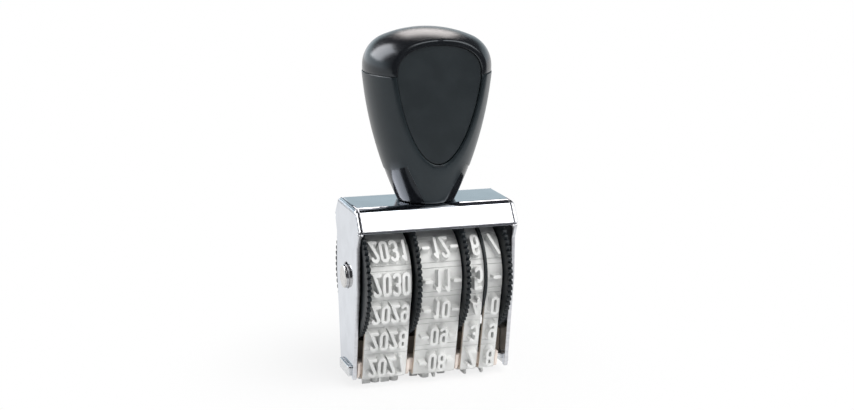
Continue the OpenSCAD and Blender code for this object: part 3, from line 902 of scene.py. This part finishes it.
class STAMP_OT_frame(bpy.types.Operator):
    """Finish the sheet frame, the axle, the bar and the handle's screw"""
    bl_idname = "stamp.frame"
    bl_label = "Frame and axle"

    def execute(self, context):
        sheet = finish_solid(sheet_frame(), "sheet_frame", "frame_steel", 0.22,
                             segments=3, edge_finish="cut_steel")
        for face in sheet.data.polygons:
            x, z = abs(face.center.x) / MM, face.center.z / MM
            cheek_edge = abs(face.normal.x) < 0.3 and x > FRAME_HALF - SHEET and z < CHEEK_TOP
            if cheek_edge or face.normal.z < -0.6 and z > SEAM_FOOT:
                face.material_index = 1
        stand_for(sheet, "frame")
        stand_for(rounded_copy("axle", "axle_steel", 0.1), "axle")
        stand_for(rounded_copy("bridge_bar", "bar_steel", 0.12), "bridge_bar")
        for node in ("handle_screw", "screw_washer"):
            dress(node, "bar_steel")
        return {"FINISHED"}


class STAMP_OT_wheels(bpy.types.Operator):
    """Finish the setting wheels, the divider and the spacer"""
    bl_idname = "stamp.wheels"
    bl_label = "Setting wheels"

    def execute(self, context):
        for name in ("year", "month", "tens", "units"):
            wheel = rounded_copy(name + "_wheel", "wheel_plastic", 0.04, deeper_gaps)
            stand_for(wheel, name + "_wheel", name + "_setting")
        for node in ("divider", "spacer"):
            dress(node, "wheel_plastic")
        return {"FINISHED"}


class STAMP_OT_bands(bpy.types.Operator):
    """Build the rubber bands with their raised type"""
    bl_idname = "stamp.bands"
    bl_label = "Type bands"

    def execute(self, context):
        settings = context.scene.stamp_type
        for node, texts in (("year_band", YEARS), ("month_band", MONTHS), ("tens_band", TENS),
                            ("units_band", UNITS)):
            low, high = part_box(node)
            width, middle = (high.x - low.x) / MM, (high.x + low.x) / 2 / MM
            stand_for(build_band(node + "_type", width, middle, texts, settings), node)
        return {"FINISHED"}


class STAMP_OT_bridge(bpy.types.Operator):
    """Finish the moulded bridge at the foot"""
    bl_idname = "stamp.bridge"
    bl_label = "Bridge"

    def execute(self, context):
        bridge = rounded_copy("bridge", "bridge_plastic", 0.1)
        # The web above the bar, between the bands, is painted dark: painted shade on the beige
        # plastic.
        bridge.data.materials.append(finishes()["painted_shade_web"])
        for face in bridge.data.polygons:
            if abs(face.center.y) < WEB_HALF * MM and face.center.z > WEB_FOOT * MM:
                face.material_index = 1
        stand_for(bridge, "bridge")
        return {"FINISHED"}


class STAMP_OT_handle(bpy.types.Operator):
    """Finish the handle"""
    bl_idname = "stamp.handle"
    bl_label = "Handle"

    def execute(self, context):
        stand_for(finish_solid(handle_body(), "grip", "handle_satin", 0, 35), "handle_body")
        collar = finish_solid(neck_collar(), "neck_collar", "polished_neck", 0, 35)
        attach(collar, "stand")
        stand_for(finish_solid(handle_cap(), "cap", "handle_gloss", 0, 35), "handle_cap")
        for node, side in (("front_panel", -1), ("rear_panel", 1)):
            reach = sorted((side * (PANEL_FACE - PANEL_T + PANEL_GAP), side * PANEL_FACE))
            plate = prism(panel_outline(PANEL_GAP), "Y", *reach)
            stand_for(finish_solid(plate, node + "_plate", "panel_satin", 0.1), node)
        return {"FINISHED"}


# ---- stage
# The camera's azimuth, elevation and roll in degrees, the point it looks at and how far away it
# stands, in millimetres, and its lens and sensor.
CAMERA_TURNS = (17.847, 12.718, 0.425)
CAMERA_TARGET, CAMERA_DISTANCE = (0.279, 0, 34.461), 306.92
CAMERA_LENS, CAMERA_SENSOR = 66.34, 36

# The lamps' azimuth, elevation, size in millimetres, radiance and colour. The two cards are
# there for reflections, and don't light matt surfaces.
KEY = (146, 48, 420, 3.6, (1, 0.99, 0.97))
CARDS = {"rear_card": (18, 35, 150, 4.2, (1, 0.93, 0.90)),
         "left_card": (-52, 36, 290, 6.5, (1, 0.98, 1))}
LAMP_DISTANCE, LAMP_AIM = 450, Vector((0, 0, 34))

# The world: its even light, and what gloss shows, which is a dark room with a wall at the rear.
# The wall's colours go up by the height of a direction, and its left is brighter.
EVEN_COLOUR, EVEN_STRENGTH = (0.95, 0.97, 1), 0.47
DARK_ROOM = (0.04, 0.04, 0.045)
WALL = ((0.1, (0.78, 0.86, 0.92)), (0.21, (0.52, 0.62, 0.66)), (0.31, (0.44, 0.52, 0.56)))
WALL_FOOT, WALL_TOP = (0.92, 0.96, 1), 0.34
WALL_SIDES = (-0.15, 0.3)
LEFT_SPAN, LEFT_BRIGHTNESS = (-0.1, 0.25), (1.7, 1)

# The floor's half width in millimetres, and in metres where its shadow fades from the stamp
# outwards and where it ends in gloss.
FLOOR_HALF, FLOOR_COLOUR = 3000, (0.93, 0.93, 0.93)
SHADOW_SPAN, SHADOW_FADE = (0.015, 0.055), (0.8, 1)
TABLE_EDGE = (-0.2, -0.09)


class STAMP_OT_stage(bpy.types.Operator):
    """Set up the floor, the lights and the camera"""
    bl_idname = "stamp.stage"
    bl_label = "Stage"

    def execute(self, context):
        camera_data = bpy.data.cameras.new("camera")
        camera_data.sensor_width = CAMERA_SENSOR
        camera_data.lens = CAMERA_LENS
        camera_data.clip_start = 0.01
        camera = put_in_scene("camera", camera_data)
        azimuth, elevation, roll = (math.radians(v) for v in CAMERA_TURNS)
        back = Vector((-math.sin(azimuth) * math.cos(elevation),
                       -math.cos(azimuth) * math.cos(elevation), math.sin(elevation)))
        side = (-back).cross(Vector((0, 0, 1))).normalized()
        up = side.cross(-back)
        right = math.cos(roll) * side + math.sin(roll) * up
        top = -math.sin(roll) * side + math.cos(roll) * up
        place = (Vector(CAMERA_TARGET) + CAMERA_DISTANCE * back) * MM
        turn = Matrix((right, top, back)).transposed().to_4x4()
        camera.matrix_world = Matrix.Translation(place) @ turn
        bpy.context.scene.camera = camera

        bpy.context.scene.view_settings.view_transform = "Standard"
        corners = [(x * FLOOR_HALF, y * FLOOR_HALF, 0)
                   for x, y in ((-1, -1), (1, -1), (1, 1), (-1, 1))]
        floor = new_object("floor", corners, [(0, 1, 2, 3)])
        floor.data.materials.append(pale_floor())
        studio_world()
        soft_light("key", *KEY)
        for name, card in CARDS.items():
            soft_light(name, *card).visible_diffuse = False
        return {"FINISHED"}


def studio_world():
    """White to the camera, an even soft light on matt surfaces, and in gloss a pale wall behind
    the stamp that is brighter on the left and ends above the horizon, in a dark room."""
    world = bpy.data.worlds.new("studio")
    world.use_nodes = True
    bpy.context.scene.world = world
    tree = world.node_tree
    even = tree.nodes["Background"]
    even.inputs["Color"].default_value = (*EVEN_COLOUR, 1)
    even.inputs["Strength"].default_value = EVEN_STRENGTH
    wall = tree.nodes.new("ShaderNodeBackground")
    way = tree.nodes.new("ShaderNodeTexCoord")
    parts = tree.nodes.new("ShaderNodeSeparateXYZ")
    tree.links.new(way.outputs["Generated"], parts.inputs["Vector"])
    colours = tree.nodes.new("ShaderNodeValToRGB")
    stops = colours.color_ramp.elements
    stops[0].position, stops[0].color = 0.0, (*WALL_FOOT, 1)
    stops[1].position, stops[1].color = WALL_TOP, (*DARK_ROOM, 1)
    for position, colour in WALL:
        stop = stops.new(position)
        stop.color = (*colour, 1)
    tree.links.new(parts.outputs["Z"], colours.inputs["Fac"])
    room = tree.nodes.new("ShaderNodeMix")
    room.data_type = "RGBA"
    room.inputs["A"].default_value = (*DARK_ROOM, 1)
    tree.links.new(eased(tree, parts.outputs["Y"], WALL_SIDES, (0, 1)), room.inputs["Factor"])
    lit = tree.nodes.new("ShaderNodeVectorMath")
    lit.operation = "SCALE"
    tree.links.new(colours.outputs["Color"], lit.inputs["Vector"])
    tree.links.new(eased(tree, parts.outputs["X"], LEFT_SPAN, LEFT_BRIGHTNESS),
                   lit.inputs["Scale"])
    tree.links.new(lit.outputs["Vector"], room.inputs["B"])
    tree.links.new(room.outputs["Result"], wall.inputs["Color"])
    white = tree.nodes.new("ShaderNodeBackground")
    white.inputs["Color"].default_value = (1, 1, 1, 1)
    gloss = ray_mix(tree, ("Is Glossy Ray",), even.outputs["Background"],
                    wall.outputs["Background"])
    seen = ray_mix(tree, ("Is Camera Ray", "Is Transmission Ray"), gloss,
                   white.outputs["Background"])
    tree.links.new(seen, tree.nodes["World Output"].inputs["Surface"])


def ray_mix(tree, kinds, usual, seen):
    """One shader where rays of the named kinds look, and the usual one for all others."""
    path = tree.nodes.new("ShaderNodeLightPath")
    factor = path.outputs[kinds[0]]
    for kind in kinds[1:]:
        either = tree.nodes.new("ShaderNodeMath")
        either.operation = "MAXIMUM"
        tree.links.new(factor, either.inputs[0])
        tree.links.new(path.outputs[kind], either.inputs[1])
        factor = either.outputs[0]
    return shader_mix(tree, factor, usual, seen)


def pale_floor():
    """A matt floor that takes the stamp's shadow near it and runs out into plain white. In gloss
    it ends in front of the stamp, as a table does."""
    material, tree, shader, place = node_material("pale_floor")
    shader.inputs["Base Color"].default_value = (*FLOOR_COLOUR, 1)
    shader.inputs["Roughness"].default_value = 1
    shader.inputs["Specular IOR Level"].default_value = 0
    white = tree.nodes.new("ShaderNodeEmission")
    length = tree.nodes.new("ShaderNodeVectorMath")
    length.operation = "LENGTH"
    tree.links.new(place, length.inputs[0])
    fade = shader_mix(tree, eased(tree, length.outputs["Value"], SHADOW_SPAN, SHADOW_FADE),
                      shader.outputs["BSDF"], white.outputs["Emission"])
    parts = tree.nodes.new("ShaderNodeSeparateXYZ")
    tree.links.new(place, parts.inputs["Vector"])
    room = tree.nodes.new("ShaderNodeEmission")
    room.inputs["Color"].default_value = (*DARK_ROOM, 1)
    table = shader_mix(tree, eased(tree, parts.outputs["Y"], TABLE_EDGE, (0, 1)),
                       room.outputs["Emission"], fade)
    gloss = ray_mix(tree, ("Is Glossy Ray",), shader.outputs["BSDF"], table)
    seen = ray_mix(tree, ("Is Camera Ray", "Is Transmission Ray"), gloss, fade)
    tree.links.new(seen, tree.nodes["Material Output"].inputs["Surface"])
    return material


def soft_light(name, azimuth, elevation, size, radiance, colour):
    """A square lamp that faces the stamp, seen at an azimuth from the rear towards the right
    and an elevation, with its size in millimetres and its surface's radiance."""
    turn, lift = math.radians(azimuth), math.radians(elevation)
    way = Vector((math.sin(turn) * math.cos(lift), math.cos(turn) * math.cos(lift),
                  math.sin(lift)))
    data = bpy.data.lights.new(name, "AREA")
    data.size = size * MM
    data.energy = radiance * math.pi * data.size ** 2
    data.color = colour
    lamp = put_in_scene(name, data)
    place = LAMP_AIM + way * LAMP_DISTANCE
    lamp.matrix_world = (Matrix.Translation(place * MM)
                         @ (-way).to_track_quat("-Z", "Y").to_matrix().to_4x4())
    lamp.visible_camera = False
    return lamp


OPERATORS = (STAMP_OT_frame, STAMP_OT_wheels, STAMP_OT_bands, STAMP_OT_bridge, STAMP_OT_handle,
             STAMP_OT_stage)


class STAMP_PT_sidebar(bpy.types.Panel):
    """The stamp's steps and settings"""
    bl_label = "Date Stamp"
    bl_idname = "STAMP_PT_sidebar"
    bl_space_type = "VIEW_3D"
    bl_region_type = "UI"
    bl_category = "Date Stamp"

    def draw(self, context):
        for group in (context.scene.stamp_type, context.scene.stamp_finish):
            for name in group.__annotations__:
                self.layout.prop(group, name)
        for operator in OPERATORS:
            self.layout.operator(operator.bl_idname)


CLASSES = (TypeSettings, FinishSettings, *OPERATORS, STAMP_PT_sidebar)


def register():
    for cls in CLASSES:
        bpy.utils.register_class(cls)
    bpy.types.Scene.stamp_type = PointerProperty(type=TypeSettings)
    bpy.types.Scene.stamp_finish = PointerProperty(type=FinishSettings)


def unregister():
    del bpy.types.Scene.stamp_finish
    del bpy.types.Scene.stamp_type
    for cls in reversed(CLASSES):
        bpy.utils.unregister_class(cls)


def main():
    register()
    bpy.ops.stamp.frame()
    bpy.ops.stamp.wheels()
    bpy.ops.stamp.bands()
    bpy.ops.stamp.bridge()
    bpy.ops.stamp.handle()
    bpy.ops.stamp.stage()


if __name__ == "__main__":
    main()
